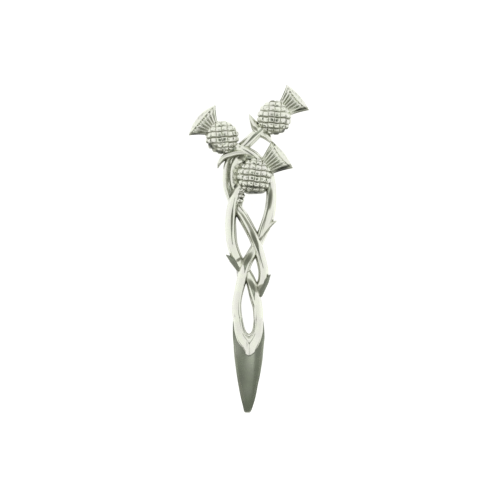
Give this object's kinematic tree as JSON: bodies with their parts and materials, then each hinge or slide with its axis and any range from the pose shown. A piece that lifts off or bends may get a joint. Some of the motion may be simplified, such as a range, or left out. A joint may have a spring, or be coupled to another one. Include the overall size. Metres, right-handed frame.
{
  "type": "kilt pin",
  "caption": "Long cast kilt pin with plaited stems, thistle heads at the top, a tapering blade at the bottom, and a straight brooch pin on its flat back.",
  "frame": {"origin": "on the surface that the pin lies on, under the middle of its box", "axes": "+Z is the worn front, +Y runs from the blade's point to the thistles, +X is to the right seen from the front"},
  "size_m": [0.0348, 0.0952, 0.0122],
  "materials": {
    "casting": "polished cast pewter, darker in the recesses, finely brushed on the flat back",
    "fastening": "plain nickel-plated steel"
  },
  "bodies": {
    "root": {"casting": "casting", "brooch_pin": "fastening"}
  },
  "joints": []
}
